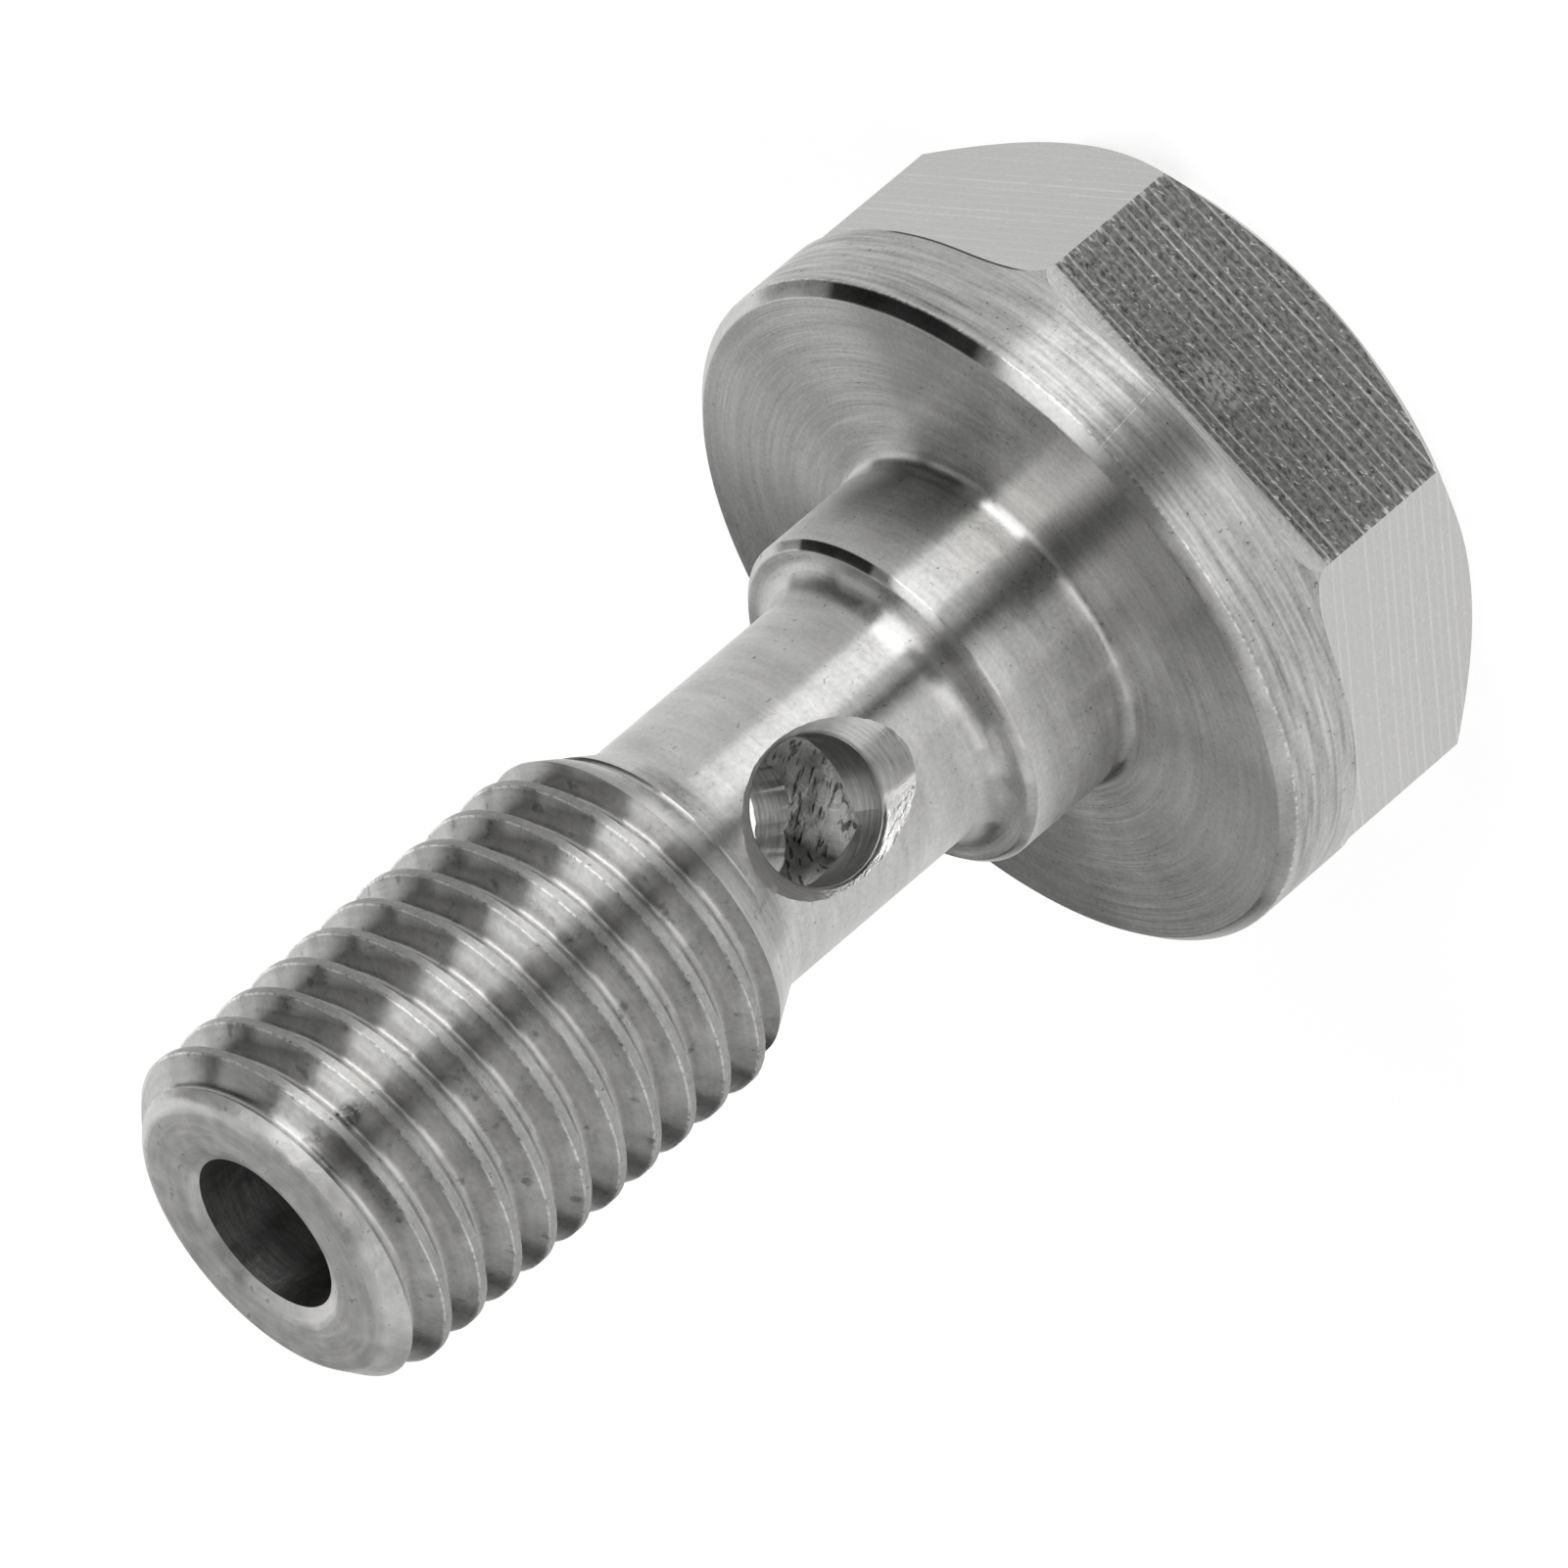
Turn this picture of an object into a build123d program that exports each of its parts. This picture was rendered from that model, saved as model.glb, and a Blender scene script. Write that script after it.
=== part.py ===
from build123d import *

import os
from math import ceil, radians, tan

os.makedirs("parts", exist_ok=True)

# A banjo bolt: one piece, turned from round bar, drilled down the shank and across the neck,
# with a hexagon milled on the head and a helical thread cut on the shank.
# Millimetres. The origin is the middle of the sealing face under the head.
# +Z runs along the shank to its threaded tip, and +X is square to one of the hexagon's flats.

# Head
head_sides = 6
across_flats = 21.0
head_height = 10.5
collar_diameter = 24.4
collar_edge_chamfer = 0.4
flat_length = 6.25
flat_end_radius = 1.2
head_chamfer_angle = 34.0
head_face_diameter = 20.0

# Shank. The neck swells out to the shoulder in a blend that is close to a quarter circle.
shank_length = 31.7
pilot_diameter = 11.9
pilot_length = 4.5
neck_diameter = 9.0
neck_blend = 1.0
neck_blend_fullness = 0.55

# Thread, a right-hand one with 60 degree flanks and flat roots
thread_diameter = 11.85
thread_root_diameter = 10.16
thread_pitch = 1.5
thread_crest_width = 0.27
thread_flank_angle = 60.0
thread_length = 15.9
thread_lead = 0.84
tip_face_diameter = 9.6
tip_chamfer_angle = 45.0
runout_angle = 30.0

# Oil way: a blind bore from the tip, met by a hole drilled across the neck
bore_diameter = 5.4
bore_depth = 23.1
bore_point_angle = 120.0
bore_mouth_diameter = 6.3
bore_mouth_angle = 120.0
cross_hole_diameter = 4.6
cross_hole_height = 10.3
cross_hole_turn = -20.5
countersink_diameter = 6.5
countersink_angle = 90.0


def drop(run, angle):
    """Height of a slope over a run, at an angle measured from the run."""
    return run * tan(radians(angle))


def runout_length():
    """Length of the cone that runs the thread down to the neck."""
    return (thread_diameter - neck_diameter) / 2 / tan(radians(runout_angle))


def turned_blank():
    """The bolt as it leaves the lathe: a revolved half section, from head face to tip."""
    collar_radius = collar_diameter / 2
    pilot_radius = pilot_diameter / 2
    neck_radius = neck_diameter / 2
    thread_radius = thread_diameter / 2
    head_radius = head_face_diameter / 2
    tip_radius = tip_face_diameter / 2
    crest_end = shank_length - thread_length
    shoulder_inner = (neck_radius + neck_blend, pilot_length)
    neck_start = (neck_radius, pilot_length + neck_blend)
    head_and_pilot = Polyline(
        (0, -head_height),
        (head_radius, -head_height),
        (collar_radius, -head_height + drop(collar_radius - head_radius, head_chamfer_angle)),
        (collar_radius, -collar_edge_chamfer),
        (collar_radius - collar_edge_chamfer, 0),
        (pilot_radius, 0),
        (pilot_radius, pilot_length),
        shoulder_inner,
    )
    handle = neck_blend * (1 - neck_blend_fullness)
    blend = Bezier(
        shoulder_inner,
        (neck_radius + handle, pilot_length),
        (neck_radius, pilot_length + handle),
        neck_start,
    )
    neck_and_thread = Polyline(
        neck_start,
        (neck_radius, crest_end - runout_length()),
        (thread_radius, crest_end),
        (thread_radius, shank_length - drop(thread_radius - tip_radius, tip_chamfer_angle)),
        (tip_radius, shank_length),
        (0, shank_length),
        (0, -head_height),
    )
    section = make_face([head_and_pilot, blend, neck_and_thread])
    return revolve(Plane.XZ * section, Axis.Z)


def flat_cut():
    """What the cutter takes off one side of the head: a flat that curves up at its end."""
    flat = across_flats / 2
    reach = collar_diameter
    curve_start = (flat, flat_length - head_height)
    wall_foot = (flat + flat_end_radius, flat_length - head_height + flat_end_radius)
    curve = RadiusArc(curve_start, wall_foot, flat_end_radius)
    outline = Polyline(
        wall_foot,
        (reach, wall_foot[1]),
        (reach, -head_height - reach),
        (flat, -head_height - reach),
        curve_start,
    )
    section = make_face([curve, outline])
    return extrude(Plane.XZ * section, collar_diameter, both=True)


def oil_bore():
    """The drilled bore with its chamfered mouth and the cone that the drill point leaves."""
    radius = bore_diameter / 2
    mouth_radius = bore_mouth_diameter / 2
    floor = shank_length - bore_depth
    point = floor - radius / tan(radians(bore_point_angle / 2))
    mouth_foot = shank_length - (mouth_radius - radius) / tan(radians(bore_mouth_angle / 2))
    beyond = shank_length + mouth_radius
    section = make_face(
        Polyline(
            (0, point),
            (radius, floor),
            (radius, mouth_foot),
            (mouth_radius, shank_length),
            (mouth_radius, beyond),
            (0, beyond),
            close=True,
        )
    )
    return revolve(Plane.XZ * section, Axis.Z)


def cross_hole():
    """The hole right through the neck, with a countersink at each end."""
    radius = cross_hole_diameter / 2
    sink_radius = countersink_diameter / 2
    neck_radius = neck_diameter / 2
    sink_foot = neck_radius - (sink_radius - radius) / tan(radians(countersink_angle / 2))
    reach = neck_diameter
    wide_radius = radius + drop(reach - sink_foot, countersink_angle / 2)
    half_section = make_face(
        Polyline(
            (0, -reach),
            (wide_radius, -reach),
            (radius, -sink_foot),
            (radius, sink_foot),
            (wide_radius, reach),
            (0, reach),
            close=True,
        )
    )
    drill = revolve(Plane.XZ * half_section, Axis.Z)
    along_x = Rot(0, 90, 0) * drill
    return Pos(0, 0, cross_hole_height) * Rot(0, 0, cross_hole_turn) * along_x


def thread_groove():
    """The helical groove that leaves the thread standing, one piece for each turn."""
    half_angle = radians(thread_flank_angle / 2)
    crest_radius = thread_diameter / 2
    root_radius = thread_root_diameter / 2
    overrun = thread_crest_width / 2
    outer = crest_radius + overrun
    half_mouth = (thread_pitch - thread_crest_width) / 2 + overrun * tan(half_angle)
    half_root = half_mouth - (outer - root_radius) * tan(half_angle)
    section = make_face(
        Polyline(
            (outer, -half_mouth),
            (root_radius, -half_root),
            (root_radius, half_root),
            (outer, half_mouth),
            close=True,
        )
    )
    helix = Helix(thread_pitch, thread_pitch, root_radius)
    one_turn = sweep(Plane.XZ * section, path=helix, is_frenet=True)
    # The first turn runs out past the tip, and the last one past the foot of the cone.
    first = shank_length - thread_lead
    last = shank_length - thread_length - runout_length()
    turns = ceil((first - last) / thread_pitch) + 1
    return [Pos(0, 0, first - turn * thread_pitch) * one_turn for turn in range(turns)]


def banjo_bolt():
    bolt = turned_blank()
    bolt -= [Rot(0, 0, side * 360 / head_sides) * flat_cut() for side in range(head_sides)]
    bolt -= thread_groove()
    bolt -= oil_bore()
    bolt -= cross_hole()
    return bolt


bolt = banjo_bolt()
bolt.label = "banjo_bolt"
export_step(bolt, "parts/banjo_bolt.step")
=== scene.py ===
from math import cos, hypot, pi, radians, sin, tan

import bmesh
import bpy
from mathutils import Matrix, Vector


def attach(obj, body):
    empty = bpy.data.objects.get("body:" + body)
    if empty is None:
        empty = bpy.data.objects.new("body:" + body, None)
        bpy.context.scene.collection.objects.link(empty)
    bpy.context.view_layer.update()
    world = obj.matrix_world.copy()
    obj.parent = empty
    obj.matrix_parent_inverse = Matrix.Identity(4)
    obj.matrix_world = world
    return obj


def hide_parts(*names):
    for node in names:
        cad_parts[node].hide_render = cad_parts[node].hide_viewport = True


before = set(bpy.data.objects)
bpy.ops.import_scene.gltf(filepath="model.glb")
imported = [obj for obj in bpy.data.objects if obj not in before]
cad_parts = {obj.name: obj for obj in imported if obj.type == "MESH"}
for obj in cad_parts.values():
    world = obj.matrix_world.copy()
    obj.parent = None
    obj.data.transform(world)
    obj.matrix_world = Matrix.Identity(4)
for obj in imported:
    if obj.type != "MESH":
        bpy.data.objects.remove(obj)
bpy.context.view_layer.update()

mm = 0.001

# The turned blank.
# The real bolt starts as round stainless bar in a lathe, which turns the collar, the sealing face,
# the pilot, the neck and the plain shank, and drills the oil way in from the tip.
round_steps = 192
head_height = 10.5 * mm
head_face_radius = 10.0 * mm
head_chamfer_angle = radians(34)
flat_distance = 10.5 * mm
flat_length = 6.25 * mm
flat_end_radius = 1.2 * mm
collar_radius = 12.2 * mm
collar_chamfer = 0.4 * mm
undercut_radius = 5.83 * mm
undercut_top = 0.54 * mm
undercut_fillet = 0.4 * mm
pilot_radius = 5.95 * mm
pilot_start = 0.75 * mm
pilot_length = 4.5 * mm
pilot_chamfer = 0.25 * mm
neck_radius = 4.5 * mm
neck_fillet = 0.95 * mm
thread_radius = 5.925 * mm
thread_length = 15.9 * mm
runout_angle = radians(30)
runout_round = 0.3 * mm
shank_length = 31.7 * mm
tip_radius = 4.8 * mm
bore_radius = 2.7 * mm
bore_mouth_radius = 3.15 * mm
bore_mouth_depth = 0.26 * mm
bore_depth = 23.1 * mm
drill_point_angle = radians(120)
cone_tip_radius = 0.02 * mm
edge_round = 0.05 * mm
tip_round = 0.3 * mm
mouth_round = 0.2 * mm
hairline = 0.01 * mm

thread_end = shank_length - thread_length
neck_end = thread_end - (thread_radius - neck_radius) / tan(runout_angle)
tip_depth = thread_radius - tip_radius
bore_floor = shank_length - bore_depth
bore_top = shank_length - bore_mouth_depth / 2
drill_point = bore_floor - bore_radius / tan(drill_point_angle / 2)

darkest_tone = 0.03
green_share = 0.995
blue_share = 0.98


class Signal:
    """A node's output. Sums and products that are written with signals add Math nodes."""

    def __init__(self, tree, socket):
        self.tree = tree
        self.socket = socket

    def node(self, kind, settings, values):
        """Adds any other node: its settings first, then values or links for its sockets."""
        made = self.tree.nodes.new(kind)
        for name, value in settings.items():
            setattr(made, name, value)
        for name, value in values.items():
            if isinstance(value, Signal):
                self.tree.links.new(value.socket, made.inputs[name])
            else:
                made.inputs[name].default_value = value
        return Signal(self.tree, made.outputs[0])

    def maths(self, operation, *terms):
        return self.node("ShaderNodeMath", {"operation": operation}, dict(enumerate(terms)))

    def step(self, low, high):
        """0 below the low value, 1 above the high one, and smooth between them."""
        values = {"Value": self, "From Min": low, "From Max": high}
        return self.node("ShaderNodeMapRange", {"interpolation_type": "SMOOTHSTEP"}, values)

    def at_least(self, low):
        return self.maths("MAXIMUM", self, low)

    def at_most(self, high):
        return self.maths("MINIMUM", self, high)

    def into(self, shader, name):
        self.tree.links.new(self.socket, shader.inputs[name])

    def __abs__(self):
        return self.maths("ABSOLUTE", self)

    def __neg__(self):
        return self.maths("MULTIPLY", self, -1.0)

    def __add__(self, other):
        return self.maths("ADD", self, other)

    def __radd__(self, other):
        return self.maths("ADD", other, self)

    def __sub__(self, other):
        return self.maths("SUBTRACT", self, other)

    def __rsub__(self, other):
        return self.maths("SUBTRACT", other, self)

    def __mul__(self, other):
        return self.maths("MULTIPLY", self, other)

    def __rmul__(self, other):
        return self.maths("MULTIPLY", other, self)

    def __truediv__(self, other):
        return self.maths("DIVIDE", self, other)

    def __pow__(self, other):
        return self.maths("POWER", self, other)


def place_in_mm(tree):
    """The x, y and z of each point of a piece, as signals in mm. A material's places are in mm."""
    place = tree.nodes.new("ShaderNodeTexCoord").outputs["Object"]
    apart = tree.nodes.new("ShaderNodeSeparateXYZ")
    tree.links.new(place, apart.inputs[0])
    return [Signal(tree, axis) / mm for axis in apart.outputs]


def steel(name, spread=1.0):
    """Bare steel whose reflections spread across its tool marks, with its shader, x, y and z."""
    made = bpy.data.materials.new(name)
    made.use_nodes = True
    shader = made.node_tree.nodes["Principled BSDF"]
    shader.inputs["Metallic"].default_value = 1
    shader.inputs["Anisotropic"].default_value = spread
    # The shader's own tangent runs round Z, as turned lines do. A quarter turn spreads across them.
    shader.inputs["Anisotropic Rotation"].default_value = 0.25
    return made, shader, *place_in_mm(made.node_tree)


def set_surface(shader, tone, roughness, normal):
    """Links a steel's grey, a little warm as stainless is and never quite black, and the rest."""
    tone = tone.at_least(darkest_tone)
    tint = {0: tone, 1: tone * green_share, 2: tone * blue_share}
    tone.node("ShaderNodeCombineColor", {}, tint).into(shader, "Base Color")
    roughness.into(shader, "Roughness")
    normal.into(shader, "Normal")


def vector(x, y, z):
    return z.node("ShaderNodeCombineXYZ", {}, {0: x, 1: y, 2: z})


def noise(place, scale, detail):
    return place.node("ShaderNodeTexNoise", {}, {"Vector": place, "Scale": scale, "Detail": detail})


def vary(uneven, amount):
    """A noise brought round zero, so that it takes a tone as far down as up."""
    return amount * (uneven - 0.5)


def relief(height, depth, below=None):
    """A bump of this depth. It can lie on another one."""
    values = {"Height": height, "Distance": depth, "Strength": 1.0}
    if below:
        values["Normal"] = below
    return height.node("ShaderNodeBump", {}, values)


def distance(a, b):
    return (a * a + b * b) ** 0.5


def angle_round(x, y):
    """The angle round the axis, in turns from -0.5 to 0.5."""
    return y.maths("ARCTAN2", y, x) / (2 * pi)


def near(value, low, high, blur):
    """1 where a value lies between two others, soft at both ends."""
    return value.step(low - blur, low + blur) * (1 - value.step(high - blur, high + blur))


def sector(x, y, start, end):
    """1 between two angles round the axis, in degrees."""
    return near(360 * angle_round(x, y), start, end, 1.5)


def turned_lines(x, y, z, fineness, lead=0.0):
    """Noise drawn out into the circles, or the helix of this lead, that a turning tool leaves."""
    radius = distance(x, y)
    along = radius + 0.5 * (z - lead * angle_round(x, y))
    return noise(vector(2 * x / radius, 2 * y / radius, along * fineness), 1.0, 3.0)


lathe_steel, shader, x, y, z = steel("lathe_steel")
radius = distance(x, y)
collar_rim = collar_radius / mm
collar_top = -collar_chamfer / mm
crests_start = thread_end / mm
fine = turned_lines(x, y, z, 14.0)
broad = turned_lines(x, y, z, 3.0)
mottle = noise(vector(x, y, z), 0.9, 4.0)
grain = noise(vector(x, y, z), 6.0, 3.0)
pits = noise(vector(x, y, z), 5.0, 2.0).step(0.68, 0.75)
streaks = noise(vector(3 * x / radius, 3 * y / radius, 4 * z), 1.3, 5.0)
on_collar = 1 - z.step(collar_top - 0.05, collar_top + 0.02)
on_crests = z.step(crests_start - 1.2, crests_start - 0.2)
# A burr runs round the collar's rim at its chamfer; its broken bright line is a painted glint.
on_edge = near(z, collar_top - 0.05, collar_top + 0.03, 0.02)
on_edge = on_edge * near(radius, collar_rim - 0.1, collar_rim + 0.1, 0.03)
painted_edge_glint = on_edge * grain.step(0.46, 0.62)
# Two chamfers, the collar's and the pilot's, are painted nearly black for part of the way round:
# a painted dark reflection. A row gives the chamfer's lowest and highest z, its inner and outer
# radius, and the angles where the black starts and ends.
dark_reflection_chamfers = [
    (-0.37, -0.02, 11.78, 12.3, 27, 58),
    (4.24, 4.5, 5.68, 6.0, 31, 63),
]
painted_dark_reflection = 0.0
for low, high, inner, outer, start, end in dark_reflection_chamfers:
    chamfer = near(z, low, high, 0.03) * near(radius, inner, outer, 0.02)
    painted_dark_reflection = painted_dark_reflection + chamfer * sector(x, y, start, end)
# One thin scratch runs along the collar's front, a little askew.
scratch_slant = 0.112
scratch = near(y + scratch_slant * z, 0.85, 0.88, 0.012) * near(z, -3.2, -0.4, 0.15)
scratch = scratch * x.step(0.0, 1.0) * grain.step(0.30, 0.50)
# A thin black line is painted on the collar's edge along the curve at the end of one flat. It is
# painted shade where the flat's curve meets the collar.
shaded_line_flat = pi / 3
flat_stop = (flat_length - head_height) / mm
curve_middle = (flat_distance + flat_end_radius) / mm
inset = (curve_middle - (x * cos(shaded_line_flat) + y * sin(shaded_line_flat))).at_least(0.0)
curve_height = ((flat_end_radius / mm) ** 2 - inset * inset) ** 0.5 + flat_stop
burr_and_painted_shade = (1 - (z - curve_height).step(0.05, 0.1)) * sector(x, y, 33, 58) * on_collar
tone = 0.57 + vary(fine, 0.16) + vary(broad, 0.30) + vary(mottle, 0.16)
tone = tone + vary(grain, 0.28) - 0.25 * pits
tone = tone - on_collar * (0.10 + vary(streaks, 0.7)) - on_crests * (0.02 + vary(grain, 0.5))
# The painted dark reflection and the painted shade line take the tone down; the painted glint and
# the scratch raise it.
tone = tone * (1 - 0.85 * painted_dark_reflection - 0.85 * burr_and_painted_shade) + 0.25 * painted_edge_glint + 0.25 * scratch
roughness = 0.30 + vary(mottle, 0.10) + vary(grain, 0.10) + 0.2 * on_crests
set_surface(shader, tone, roughness, relief(fine, 0.008 * mm, relief(broad, 0.02 * mm)))

# The tip was faced off last and has been handled: its arcs are faint, and it is dented.
faced_steel, shader, x, y, z = steel("faced_steel", spread=0.2)
arcs = turned_lines(x, y, z, 5.0)
mottle = noise(vector(x, y, z), 1.3, 5.0)
dents = noise(vector(x, y, z), 2.6, 3.0).step(0.66, 0.72)
tone = 0.80 + vary(arcs, 0.34) + vary(mottle, 0.46) - 0.3 * dents
roughness = 0.50 + vary(mottle, 0.2)
set_surface(shader, tone, roughness, relief(arcs, 0.015 * mm, relief(mottle, 0.05 * mm)))

# The oil way's wall is painted bright by the cross hole, and painted dark from there up to the tip:
# painted shade deep in the bore.
bore_steel, shader, x, y, z = steel("bore_steel", spread=0.6)
painted_shade_start = 11.3
painted_shade_full = 12.6
rings = turned_lines(x, y, z, 7.0, lead=0.6)
rough = noise(vector(x, y, z * 0.5), 2.2, 5.0)
gouges = noise(vector((y + z) * 6.0, y - z, x * 1.2), 1.0, 4.0).step(0.55, 0.62)
painted_light_by_hole = 1 - z.step(painted_shade_start, painted_shade_full)
tone = 0.20 + painted_light_by_hole * (0.50 + vary(rings, 0.3) + vary(rough, 1.1) - 0.5 * gouges)
roughness = 0.5 + vary(rough, 0.3)
set_surface(shader, tone, roughness, relief(rings, 0.03 * mm, relief(rough, 0.05 * mm)))

# The blank's rings, each with its radius and height, from the head's end up over the tip and down
# into the bore. Then those that are rounded, each with the size of its round and its steps.
blank_outline = [
    (head_face_radius, -head_height),
    (collar_radius, -head_height + (collar_radius - head_face_radius) * tan(head_chamfer_angle)),
    (collar_radius, -collar_chamfer),
    (collar_radius - collar_chamfer, 0),
    (undercut_radius, 0),
    (undercut_radius, undercut_top),
    (pilot_radius, pilot_start),
    (pilot_radius, pilot_length - pilot_chamfer),
    (pilot_radius - pilot_chamfer, pilot_length),
    (neck_radius, pilot_length),
    (neck_radius, neck_end),
    (thread_radius, thread_end),
    (thread_radius, shank_length - tip_depth),
    (tip_radius, shank_length),
    (bore_mouth_radius, shank_length),
    (bore_radius, shank_length - bore_mouth_depth),
    (bore_radius, bore_floor),
    (cone_tip_radius, drill_point),
]
rounded_rings = [
    (neck_radius, pilot_length, neck_fillet, 10),
    (neck_radius, neck_end, runout_round, 5),
    (undercut_radius, 0, undercut_fillet, 6),
    (collar_radius, -collar_chamfer, edge_round, 2),
    (collar_radius - collar_chamfer, 0, edge_round, 2),
    (pilot_radius, pilot_length - pilot_chamfer, edge_round, 2),
    (pilot_radius - pilot_chamfer, pilot_length, edge_round, 2),
    (tip_radius, shank_length, tip_round, 6),
    (bore_mouth_radius, shank_length, mouth_round, 4),
]


def turn(outline, steps):
    """Turns a piece up along Z: each (radius, height) after the first is drawn out as a ring."""
    radius, height = outline[0]
    bpy.ops.object.select_all(action="DESELECT")
    bpy.ops.mesh.primitive_circle_add(
        vertices=steps, radius=radius, fill_type="NGON", location=(0, 0, height)
    )
    bpy.ops.object.transform_apply(location=True)
    bpy.ops.object.mode_set(mode="EDIT")
    bpy.ops.mesh.select_all(action="SELECT")
    for next_radius, next_height in outline[1:]:
        bpy.ops.mesh.extrude_region_move(
            TRANSFORM_OT_translate={"value": (0, 0, next_height - height)}
        )
        grow = next_radius / radius
        bpy.ops.transform.resize(value=(grow, grow, 1), center_override=(0, 0, next_height))
        radius, height = next_radius, next_height
    return bpy.context.active_object


def pick(obj, domain, test):
    """Selects just the vertices, edges or faces of a mesh in edit mode that pass a test."""
    bpy.ops.mesh.select_mode(type={"verts": "VERT", "edges": "EDGE", "faces": "FACE"}[domain])
    bpy.ops.mesh.select_all(action="DESELECT")
    mesh = bmesh.from_edit_mesh(obj.data)
    for part in getattr(mesh, domain):
        part.select_set(test(part))
    mesh.select_flush_mode()
    bmesh.update_edit_mesh(obj.data)


def face_outwards():
    """Points every face of the mesh in edit mode out of its solid."""
    bpy.ops.mesh.select_all(action="SELECT")
    bpy.ops.mesh.normals_make_consistent(inside=False)


def on_ring(vert, radius, height):
    """Whether a vertex lies on the turned ring of this radius at this height."""
    return (
        abs(hypot(vert.co.x, vert.co.y) - radius) < hairline and abs(vert.co.z - height) < hairline
    )


def in_bore(vert):
    """Whether a vertex lies on the oil way's wall or its drill point."""
    return hypot(vert.co.x, vert.co.y) < bore_radius + hairline and (
        drill_point - hairline < vert.co.z < bore_top
    )


def on_tip(vert):
    """Whether a vertex lies on the tip's face, its chamfer or the mouth of the oil way."""
    return (
        hypot(vert.co.x, vert.co.y) > bore_radius - hairline and vert.co.z > bore_top - tip_depth
    )


def finish_with(obj, material):
    """Gives the faces selected in edit mode another finish."""
    obj.data.materials.append(material)
    obj.active_material_index = len(obj.data.materials) - 1
    bpy.ops.object.material_slot_assign()


bolt = turn(blank_outline, round_steps)
bolt.name = "turned_bolt"
bolt.data.materials.append(lathe_steel)
bpy.ops.mesh.merge(type="CENTER")
face_outwards()
for radius, height, size, segments in rounded_rings:
    pick(bolt, "edges", lambda edge: all(on_ring(v, radius, height) for v in edge.verts))
    bpy.ops.mesh.bevel(offset=size, segments=segments, affect="EDGES")
pick(bolt, "faces", lambda face: all(in_bore(v) for v in face.verts))
finish_with(bolt, bore_steel)
pick(bolt, "faces", lambda face: all(on_tip(v) for v in face.verts))
finish_with(bolt, faced_steel)
bpy.ops.object.mode_set(mode="OBJECT")

# The hexagon.
# Six flats are milled across the back of the head by a cutter with a rounded corner, so that each
# flat curves up where it stops short of the collar. The flat on +X was cut with a coarser finish,
# and its steel is painted much darker than the other flats': painted shade.
head_sides = 6
flat_end_steps = 12
cutter_size = 30 * mm
feed_pitch = 0.36 * mm


def mill_marks(x, y, z):
    """The lines that the cutter leaves at each feed, the specks between them, and all its marks."""
    wander = noise(vector(x * 0.2, y * 0.2, z * 0.8), 1.0, 2.0)
    phase = (z + 0.12 * wander) * (2 * pi * mm / feed_pitch)
    lines = (0.5 + 0.5 * phase.maths("COSINE", phase)) ** 6
    strong = noise(vector(x * 0.02, y * 0.02, z * 1.9), 1.0, 2.0).step(0.42, 0.62)
    whole = noise(vector(x * 0.9, y * 0.9, z * 2.5), 1.0, 3.0).step(0.30, 0.55)
    lines = lines * (0.25 + 0.75 * strong) * (0.3 + 0.7 * whole)
    specks = noise(vector(x * 4.0, y * 4.0, z * 7.0), 1.0, 3.0)
    tears = noise(vector(x * 5.0, y * 5.0 + z * 3.0, z * 8.0), 1.0, 2.0).step(0.54, 0.66)
    flecks = noise(vector(x * 5.0, y * 5.0 - z * 4.0, z * 8.0), 1.0, 1.0).step(0.67, 0.74)
    return lines, specks, 0.6 * lines + vary(specks, 0.7) - 0.12 * tears + 0.5 * flecks


coarse_milled_steel_painted_dark, shader, x, y, z = steel("coarse_milled_steel_painted_dark")
lines, specks, marks = mill_marks(x, y, z)
# Something rubbed the lines down in the middle of the flat and left a light smear.
smear_y = 0.2
smear_z = -5.6
smear = (((z - smear_z) * 1.3) ** 2 + (y - smear_y) ** 2).step(0.3, 1.1)
smear = (1 - smear) * specks.step(0.35, 0.6)
# A fine burr stands along the flat's two sides, which are 6.06 mm from its middle.
burr_and_painted_shade = abs(y).step(5.8, 6.0) * noise(vector(0.0, y * 0.3, z), 5.0, 2.0).step(0.5, 0.62)
# The cutter's corner left the curve at the flat's end smooth; it is left out of the painted shade.
curve = z.step(flat_stop - 0.02, flat_stop + 0.06)
# The flat's low base tone is painted shade.
tone = (0.24 + 0.75 * marks + 0.16 * smear + 0.5 * burr_and_painted_shade) * (1 - curve)
tone = tone + (0.60 + vary(specks, 0.2)) * curve
roughness = 0.34 + vary(specks, 0.1)
set_surface(shader, tone, roughness, relief(specks, 0.03 * mm, relief(lines, 0.02 * mm)))

fine_milled_steel, shader, x, y, z = steel("fine_milled_steel")
lines, specks, marks = mill_marks(x, y, z)
tone = 0.61 + 0.18 * marks
roughness = 0.32 + vary(specks, 0.1)
set_surface(shader, tone, roughness, relief(specks, 0.008 * mm, relief(lines, 0.007 * mm)))


def hold(obj):
    """Selects one piece alone, as the piece that the next steps work on."""
    bpy.ops.object.select_all(action="DESELECT")
    bpy.context.view_layer.objects.active = obj
    obj.select_set(True)


def cut_away(obj, cutter):
    """Takes a cutter's shape out of a piece. The new faces keep the cutter's finish."""
    hold(obj)
    cut = obj.modifiers.new("cut", "BOOLEAN")
    cut.operation = "DIFFERENCE"
    cut.solver = "EXACT"
    cut.material_mode = "TRANSFER"
    cut.object = cutter
    bpy.ops.object.modifier_apply(modifier=cut.name)


def scrap(cutter):
    """Clears a cutter away once it has done its work."""
    mesh = cutter.data
    bpy.data.objects.remove(cutter)
    bpy.data.meshes.remove(mesh)


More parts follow.
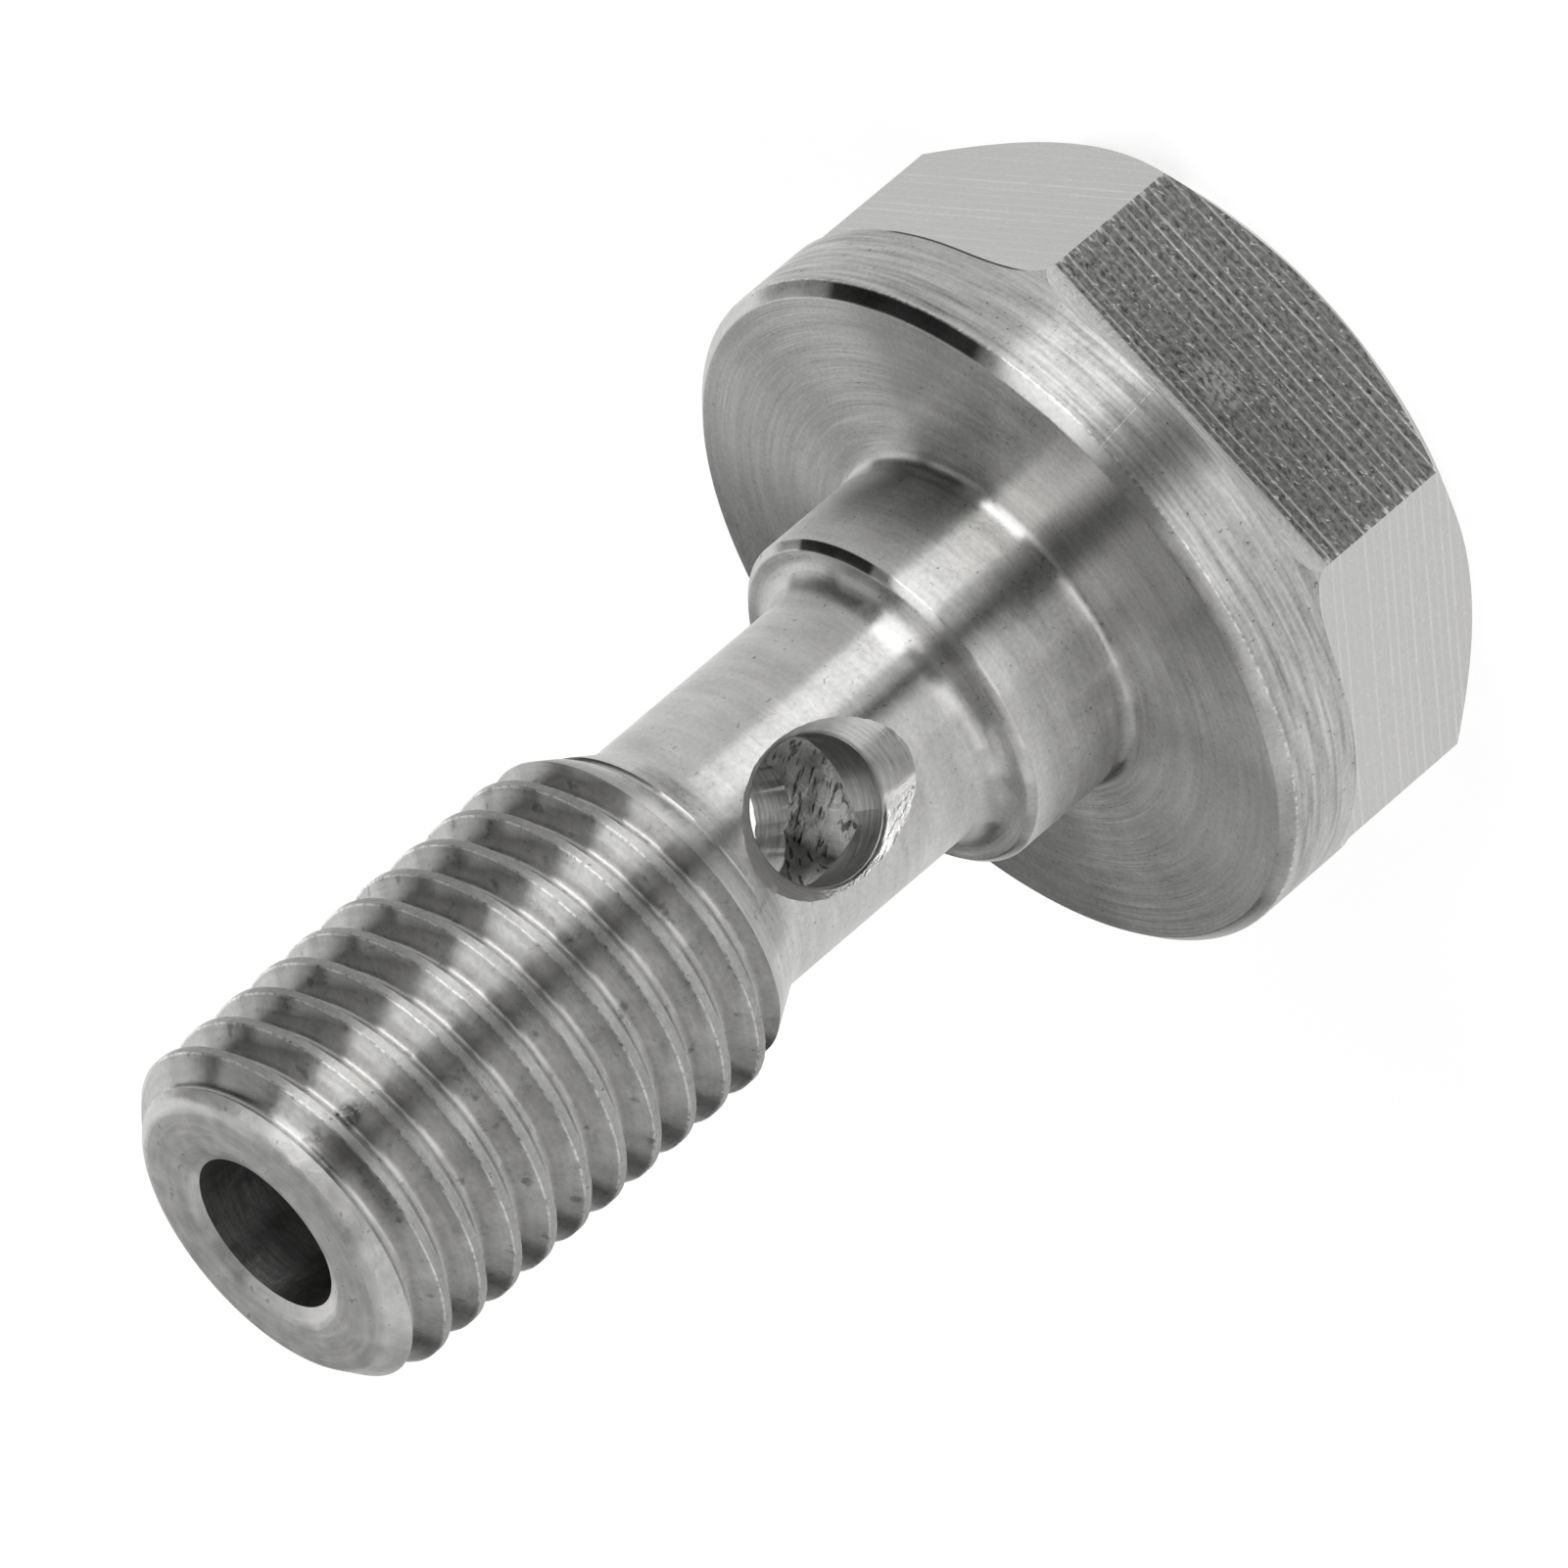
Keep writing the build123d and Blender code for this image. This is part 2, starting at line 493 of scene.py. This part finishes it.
flat_end = flat_length - head_height + flat_end_radius
bpy.ops.object.select_all(action="DESELECT")
bpy.ops.mesh.primitive_cube_add(
    size=cutter_size,
    location=(flat_distance + cutter_size / 2, 0, flat_end - cutter_size / 2),
)
mill = bpy.context.active_object
mill.data.materials.append(coarse_milled_steel_painted_dark)
bpy.ops.object.transform_apply(location=True)
bpy.ops.object.mode_set(mode="EDIT")
pick(
    mill,
    "edges",
    lambda edge: all(
        v.co.z > flat_end - hairline and v.co.x < flat_distance + hairline for v in edge.verts
    ),
)
bpy.ops.mesh.bevel(offset=flat_end_radius, segments=flat_end_steps, affect="EDGES")
bpy.ops.object.mode_set(mode="OBJECT")
for side in range(head_sides):
    cut_away(bolt, mill)
    mill.data.materials[0] = fine_milled_steel
    hold(mill)
    bpy.ops.transform.rotate(
        value=2 * pi / head_sides, orient_axis="Z", center_override=(0, 0, 0)
    )
    bpy.ops.object.transform_apply(rotation=True, location=True)
scrap(mill)

# The thread.
# The real one is cut with a single point tool that follows a right-hand helix of 1.5 mm pitch, from
# past the tip to the cone above the neck. Its roots are rounded and its crests have small tears.
pitch = 1.5 * mm
root_radius = 5.08 * mm
root_steps = 6
crest_width = 0.27 * mm
flank_half_angle = radians(30)
thread_lead = 0.84 * mm
turns = 14
helix_steps = 96
crest_break = 0.021 * mm
crest_break_angle = radians(41)
overrun = 0.06 * mm
tear = 0.012 * mm

thread_steel, shader, x, y, z = steel("thread_steel")
crest = thread_radius / mm
fine = turned_lines(x, y, z, 9.0, lead=pitch / mm)
broad = turned_lines(x, y, z, 2.5, lead=pitch / mm)
mottle = noise(vector(x, y, z), 1.1, 4.0)
grain = noise(vector(x, y, z), 5.0, 3.0)
stains = noise(vector(x, y, z), 1.6, 3.0).step(0.62, 0.72)
# The crests' edges are painted brighter in broken lines: a painted highlight.
crest_edge_highlight = distance(x, y).step(crest - 0.085, crest - 0.035) * grain.step(0.30, 0.55)
# The first turn took a knock that left a dark smudge.
smudge_y = 0.69
smudge_z = 29.3
smudge = 1 - distance(y - smudge_y, z - smudge_z).step(0.2, 0.5)
smudge = smudge * x.step(0.0, 1.0) * grain.step(0.35, 0.55)
tone = 0.50 + vary(fine, 0.2) + vary(mottle, 0.2) + vary(grain, 0.24) - 0.2 * stains
tone = tone + 0.35 * crest_edge_highlight - 0.35 * smudge
roughness = 0.30 + vary(mottle, 0.12) + vary(grain, 0.1)
set_surface(shader, tone, roughness, relief(fine, 0.008 * mm, relief(broad, 0.02 * mm)))

root_tip = thread_radius - (pitch - crest_width) / 2 / tan(flank_half_angle)
flank_end = thread_radius - crest_break
flank_middle = (root_tip + flank_end) / 2
flank_height = (flank_end - root_tip) * tan(flank_half_angle)
lowest_turn = shank_length - thread_lead - (turns - 1) * pitch
# The groove starts as a plane that becomes its cross section: the two flanks meet in a point, open
# wider past the crests, and the point is rounded. The outline is then screwed up round the shank.
bpy.ops.object.select_all(action="DESELECT")
bpy.ops.mesh.primitive_plane_add(
    size=1, rotation=(pi / 2, 0, 0), location=(flank_middle, 0, lowest_turn)
)
groove = bpy.context.active_object
bpy.ops.transform.resize(value=(flank_end - root_tip, 1, 2 * flank_height))
bpy.ops.object.transform_apply(location=True, rotation=True, scale=True)
groove.data.materials.append(thread_steel)
bpy.ops.object.mode_set(mode="EDIT")
pick(groove, "verts", lambda vert: vert.co.x < flank_middle)
bpy.ops.mesh.merge(type="CENTER")
pick(groove, "edges", lambda edge: all(v.co.x > flank_end - hairline for v in edge.verts))
bpy.ops.mesh.extrude_region_move(
    TRANSFORM_OT_translate={"value": (crest_break + overrun, 0, 0)}
)
flare = 1 + (crest_break + overrun) * tan(crest_break_angle) / flank_height
bpy.ops.transform.resize(value=(1, 1, flare), center_override=(0, 0, lowest_turn))
bpy.ops.mesh.select_all(action="SELECT")
bpy.ops.mesh.dissolve_faces()
pick(groove, "verts", lambda vert: vert.co.x < root_tip + hairline)
bpy.ops.mesh.bevel(
    offset=(root_radius - root_tip) / tan(flank_half_angle), segments=root_steps, affect="VERTICES"
)
bpy.ops.mesh.select_all(action="SELECT")
bpy.ops.mesh.delete(type="ONLY_FACE")
bpy.ops.object.mode_set(mode="OBJECT")
screw = groove.modifiers.new("helix", "SCREW")
screw.axis = "Z"
screw.angle = 2 * pi
screw.screw_offset = pitch
screw.iterations = turns
screw.steps = helix_steps
screw.render_steps = helix_steps
bpy.ops.object.modifier_apply(modifier=screw.name)
bpy.ops.object.mode_set(mode="EDIT")
bpy.ops.mesh.select_mode(type="EDGE")
bpy.ops.mesh.select_all(action="DESELECT")
bpy.ops.mesh.select_non_manifold(
    extend=False, use_wire=False, use_multi_face=False, use_non_contiguous=False, use_verts=False
)
bpy.ops.mesh.fill_holes(sides=0)
face_outwards()
# The crests' edges are torn a little.
pick(groove, "verts", lambda vert: hypot(vert.co.x, vert.co.y) > flank_end - hairline)
bpy.ops.transform.vertex_random(offset=tear, seed=4)
bpy.ops.object.mode_set(mode="OBJECT")
cut_away(bolt, groove)
scrap(groove)

# The cross hole.
# It is drilled right through the neck to meet the oil way, and countersunk at both mouths. The
# countersink chattered and left a torn rim.
cross_height = 10.3 * mm
cross_turn = radians(-20.5)
cross_radius = 2.3 * mm
sink_radius = 3.25 * mm
far_sink_radius = 2.93 * mm
sink_half_angle = radians(45)
cross_steps = 96
cross_reach = 9 * mm
rim_band = 0.5 * mm
rim_bands = 4
rim_tear = 0.035 * mm

drilled_steel, shader, x, y, z = steel("drilled_steel", spread=0.3)
drilled_to = cross_radius / mm
out = x * cos(cross_turn) + y * sin(cross_turn)
side = y * cos(cross_turn) - x * sin(cross_turn)
rise = z - cross_height / mm
radius = distance(side, rise)
rings = noise(vector(side / radius, rise / radius, (radius + out) * 3.0), 2.0, 4.0)
rough = noise(vector(x, y, z), 3.0, 4.0)
tears = noise(vector(side * 2.0, rise * 2.0 + side * 4.0, out * 3.0), 1.6, 4.0)
on_sink = radius.step(drilled_to + 0.02, drilled_to + 0.12)
low_side = (-side - 0.25 * rise).step(1.5, 2.2)
torn = on_sink * low_side * out.step(0.0, 1.0)
tone = 0.34 + vary(rings, 0.5 - 0.3 * on_sink) + 0.24 * on_sink + vary(rough, 0.2)
tone = tone + torn * (0.38 + vary(tears, 0.5) - 0.9 * tears.step(0.62, 0.72))
roughness = 0.42 + vary(rough, 0.2)
set_surface(shader, tone, roughness, relief(rings, 0.012 * mm, relief(torn * tears, 0.15 * mm)))


def sink_foot(mouth_radius):
    """How far from the bolt's axis a countersink with this mouth starts to widen."""
    return neck_radius - (mouth_radius - cross_radius) / tan(sink_half_angle)


def sink_rings(foot):
    """The drill's (radius, distance) rings on a countersink, from its foot out past the neck."""
    distances = [foot + band * rim_band for band in range(rim_bands + 1)] + [cross_reach]
    return [(cross_radius + (far - foot) * tan(sink_half_angle), far) for far in distances]


near_foot = sink_foot(sink_radius)
far_rings = sink_rings(sink_foot(far_sink_radius))
cross_outline = [(radius, -far) for radius, far in reversed(far_rings)] + sink_rings(near_foot)
drill = turn(cross_outline, cross_steps)
drill.data.materials.append(drilled_steel)
face_outwards()
pick(
    drill,
    "verts",
    lambda vert: near_foot + hairline < abs(vert.co.z) < cross_reach - hairline,
)
bpy.ops.transform.vertex_random(offset=rim_tear, seed=2)
bpy.ops.object.mode_set(mode="OBJECT")
drill.rotation_euler = (0, pi / 2, cross_turn)
drill.location = (0, 0, cross_height)
bpy.ops.object.transform_apply(location=True, rotation=True)
cut_away(bolt, drill)
scrap(drill)

# That was the last cut, so the bolt is whole. It is one piece of one steel.
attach(bolt, "root")
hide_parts("banjo_bolt")
hold(bolt)
bpy.ops.object.shade_smooth_by_angle(angle=radians(30))

# The table that the bolt stands on.
# It is a sheet of white paper. It is seen and mirrored as white, with the bolt's shadow on it, but
# lights the bolt as grey paper would. The steel doesn't mirror the strip in front of the camera.
floor_size = 4.0
paper_tone = 0.3
paper_glow = 0.86

bpy.ops.object.select_all(action="DESELECT")
bpy.ops.mesh.primitive_plane_add(size=floor_size, location=(0, 0, -head_height))
floor = bpy.context.active_object
floor.name = "table"

paper = bpy.data.materials.new("paper")
paper.use_nodes = True
nodes = paper.node_tree.nodes
nodes.remove(nodes["Principled BSDF"])
rays = nodes.new("ShaderNodeLightPath").outputs
seen, mirrored, through = (
    Signal(paper.node_tree, rays[name])
    for name in ("Is Camera Ray", "Is Glossy Ray", "Is Transmission Ray")
)
along, across = place_in_mm(paper.node_tree)[:2]
strip_half_width = 4.5
strip_start = 20.0
strip_fade = 4.0
strip = near(across, -strip_half_width, strip_half_width, 1.0)
strip = strip * along.step(strip_start, strip_start + strip_fade)
shown = (seen + through + mirrored * (1 - strip)).at_most(1.0)
grey_paper = (paper_tone, paper_tone, paper_tone, 1)
sheet = seen.node("ShaderNodeBsdfDiffuse", {}, {"Color": grey_paper})
glow = seen.node("ShaderNodeEmission", {}, {"Color": (1, 1, 1, 1), "Strength": paper_glow})
white = seen.node("ShaderNodeAddShader", {}, {0: sheet, 1: glow})
mixed = seen.node("ShaderNodeMixShader", {}, {0: shown, 1: sheet, 2: white})
mixed.into(nodes["Material Output"], "Surface")
floor.data.materials.append(paper)

# The soft boxes round the bolt.
# Each is a fabric panel that faces the bolt. A row gives its direction from the camera's, its
# elevation and its spread, in degrees, and its strength. Their images are the bands on the steel.
camera_azimuth = radians(-4.033)
box_distance = 0.8
box_height_angle = radians(20)
box_aim = Vector((0, 0, 10 * mm))
soft_boxes = [
    (-105, 10, 75, 0.5),
    (-22.5, 10, 30, 1.23),
    (37.5, 10, 30, 4.94),
    (157.5, 10, 30, 1.21),
    (-165, 32, 60, 0.41),
    (-120, 32, 30, 0.72),
    (-90, 32, 30, 1.21),
    (-45, 32, 60, 2.33),
    (45, 32, 60, 0.34),
    (150, 32, 30, 1.25),
    (-135, 55, 45, 0.94),
    (0, 55, 45, 0.54),
    (45, 55, 45, 3.2),
    (135, 55, 45, 1.0),
]
for direction, elevation, spread, strength in soft_boxes:
    azimuth = camera_azimuth + radians(direction)
    reach = box_distance * cos(radians(elevation))
    height = box_distance * sin(radians(elevation))
    panel = bpy.data.lights.new("soft_box", "AREA")
    panel.shape = "RECTANGLE"
    panel.size = 2 * reach * tan(radians(spread / 2))
    panel.size_y = 2 * box_distance * tan(box_height_angle / 2)
    panel.energy = strength * pi * panel.size * panel.size_y
    box = bpy.data.objects.new("soft_box", panel)
    box.location = box_aim + Vector((reach * cos(azimuth), reach * sin(azimuth), height))
    box.rotation_euler = (box_aim - box.location).to_track_quat("-Z", "Y").to_euler()
    bpy.context.collection.objects.link(box)

# The camera.
# It stands where the photograph was taken from, with a long lens, and is rolled so that the bolt
# lies across the picture from its head at the upper right to its tip at the lower left.
aim = Vector((0.719, 0.153, 9.194)) * mm
camera_elevation = radians(26.664)
camera_distance = 559.93 * mm
camera_roll = radians(130.32)
lens = 429.48

away = Vector((
    cos(camera_elevation) * cos(camera_azimuth),
    cos(camera_elevation) * sin(camera_azimuth),
    sin(camera_elevation),
))
right_level = Vector((-sin(camera_azimuth), cos(camera_azimuth), 0))
up_level = away.cross(right_level)
up = cos(camera_roll) * up_level + sin(camera_roll) * right_level
right = up.cross(away)
eye = bpy.data.cameras.new("camera")
eye.lens = lens
camera = bpy.data.objects.new("camera", eye)
bpy.context.collection.objects.link(camera)
camera.matrix_world = (
    Matrix.Translation(aim + camera_distance * away)
    @ Matrix((right, up, away)).transposed().to_4x4()
)
bpy.context.scene.camera = camera
bpy.context.scene.view_settings.view_transform = "Standard"
